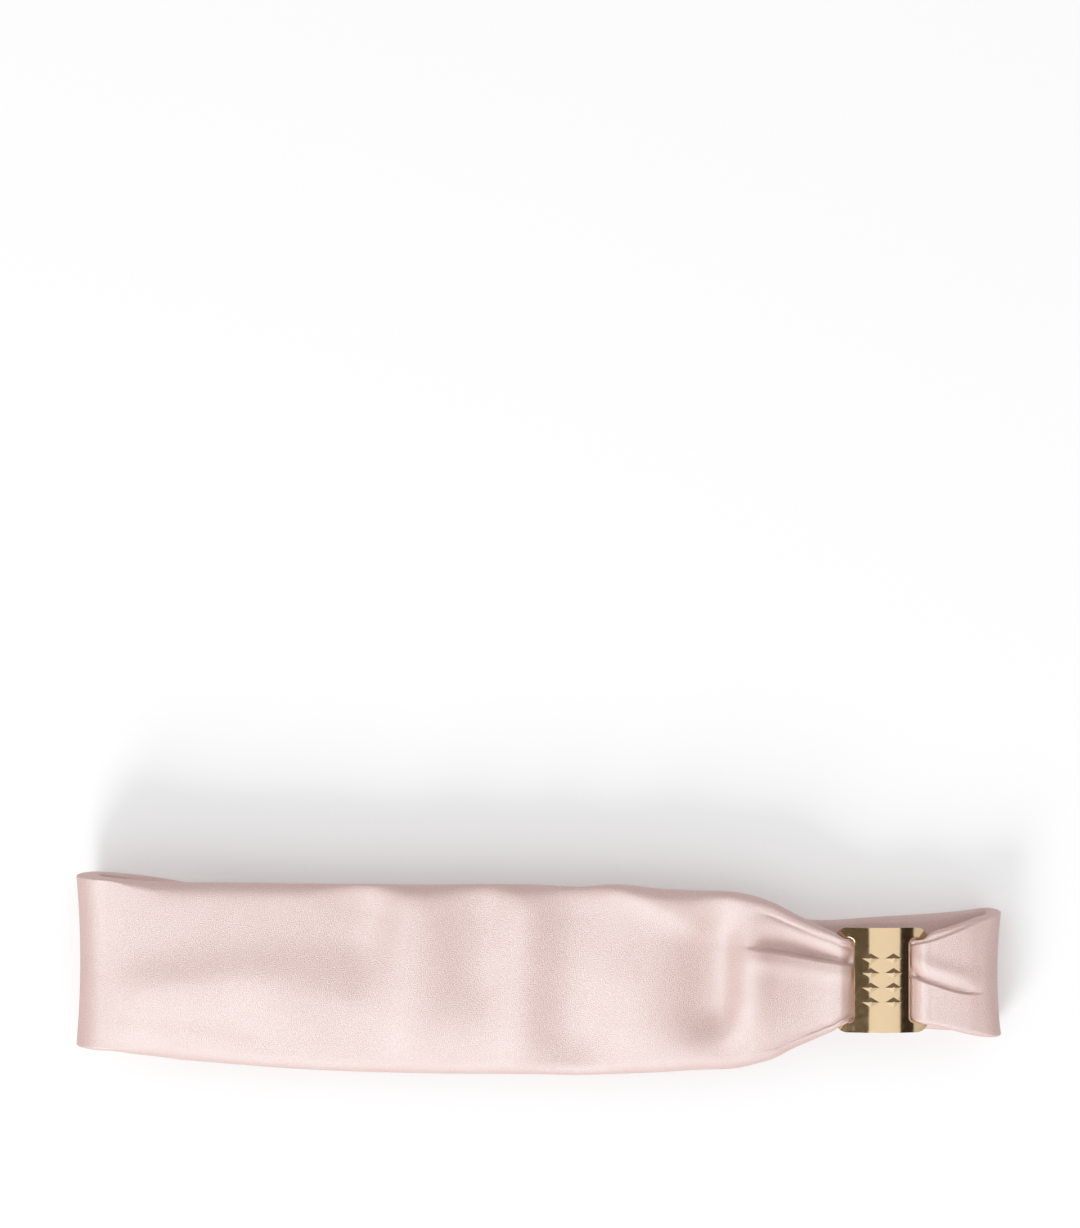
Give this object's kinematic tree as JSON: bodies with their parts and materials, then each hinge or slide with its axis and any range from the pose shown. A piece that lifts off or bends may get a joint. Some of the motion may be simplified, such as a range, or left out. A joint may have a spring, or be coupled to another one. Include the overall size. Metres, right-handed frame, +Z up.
{
  "type": "satin headband",
  "caption": "Flattened loop of padded satin gathered through a curved gilt slider, with an elastic section at the back, worn round the head.",
  "frame": {"origin": "bottom centre of the whole, on the surface that the rear layer rests on", "axes": "+X along the band towards the slider's end, +Y across the band, +Z up out of the front layer"},
  "size_m": [0.24, 0.0524, 0.02],
  "materials": {
    "satin": "pale pink satin, soft broad sheen, fine grain",
    "padding": "white polyester wadding, matt",
    "elastic": "white woven elastic tape, matt, ribbed",
    "thread": "pink polyester thread, slight sheen",
    "gilt_metal": "polished pale gold plating"
  },
  "bodies": {
    "band": {"front_cover": "satin", "left_gather": "satin", "right_gather": "satin", "left_turn_cover": "satin", "left_taper_cover": "satin", "right_turn_cover": "satin", "right_tail_cover": "satin", "padding": "padding", "rear_casing": "satin", "rear_elastic": "elastic", "left_hem_stitches": "thread", "right_hem_stitches": "thread"},
    "slider": {"slider": "gilt_metal", "threaded_satin": "satin"}
  },
  "joints": [
    {"name": "slider_slide", "type": "slide", "parent": "band", "child": "slider", "axis": [1, 0, 0], "range_m": [-0.006, 0.005], "deforming": ["left_gather", "right_gather"]}
  ]
}
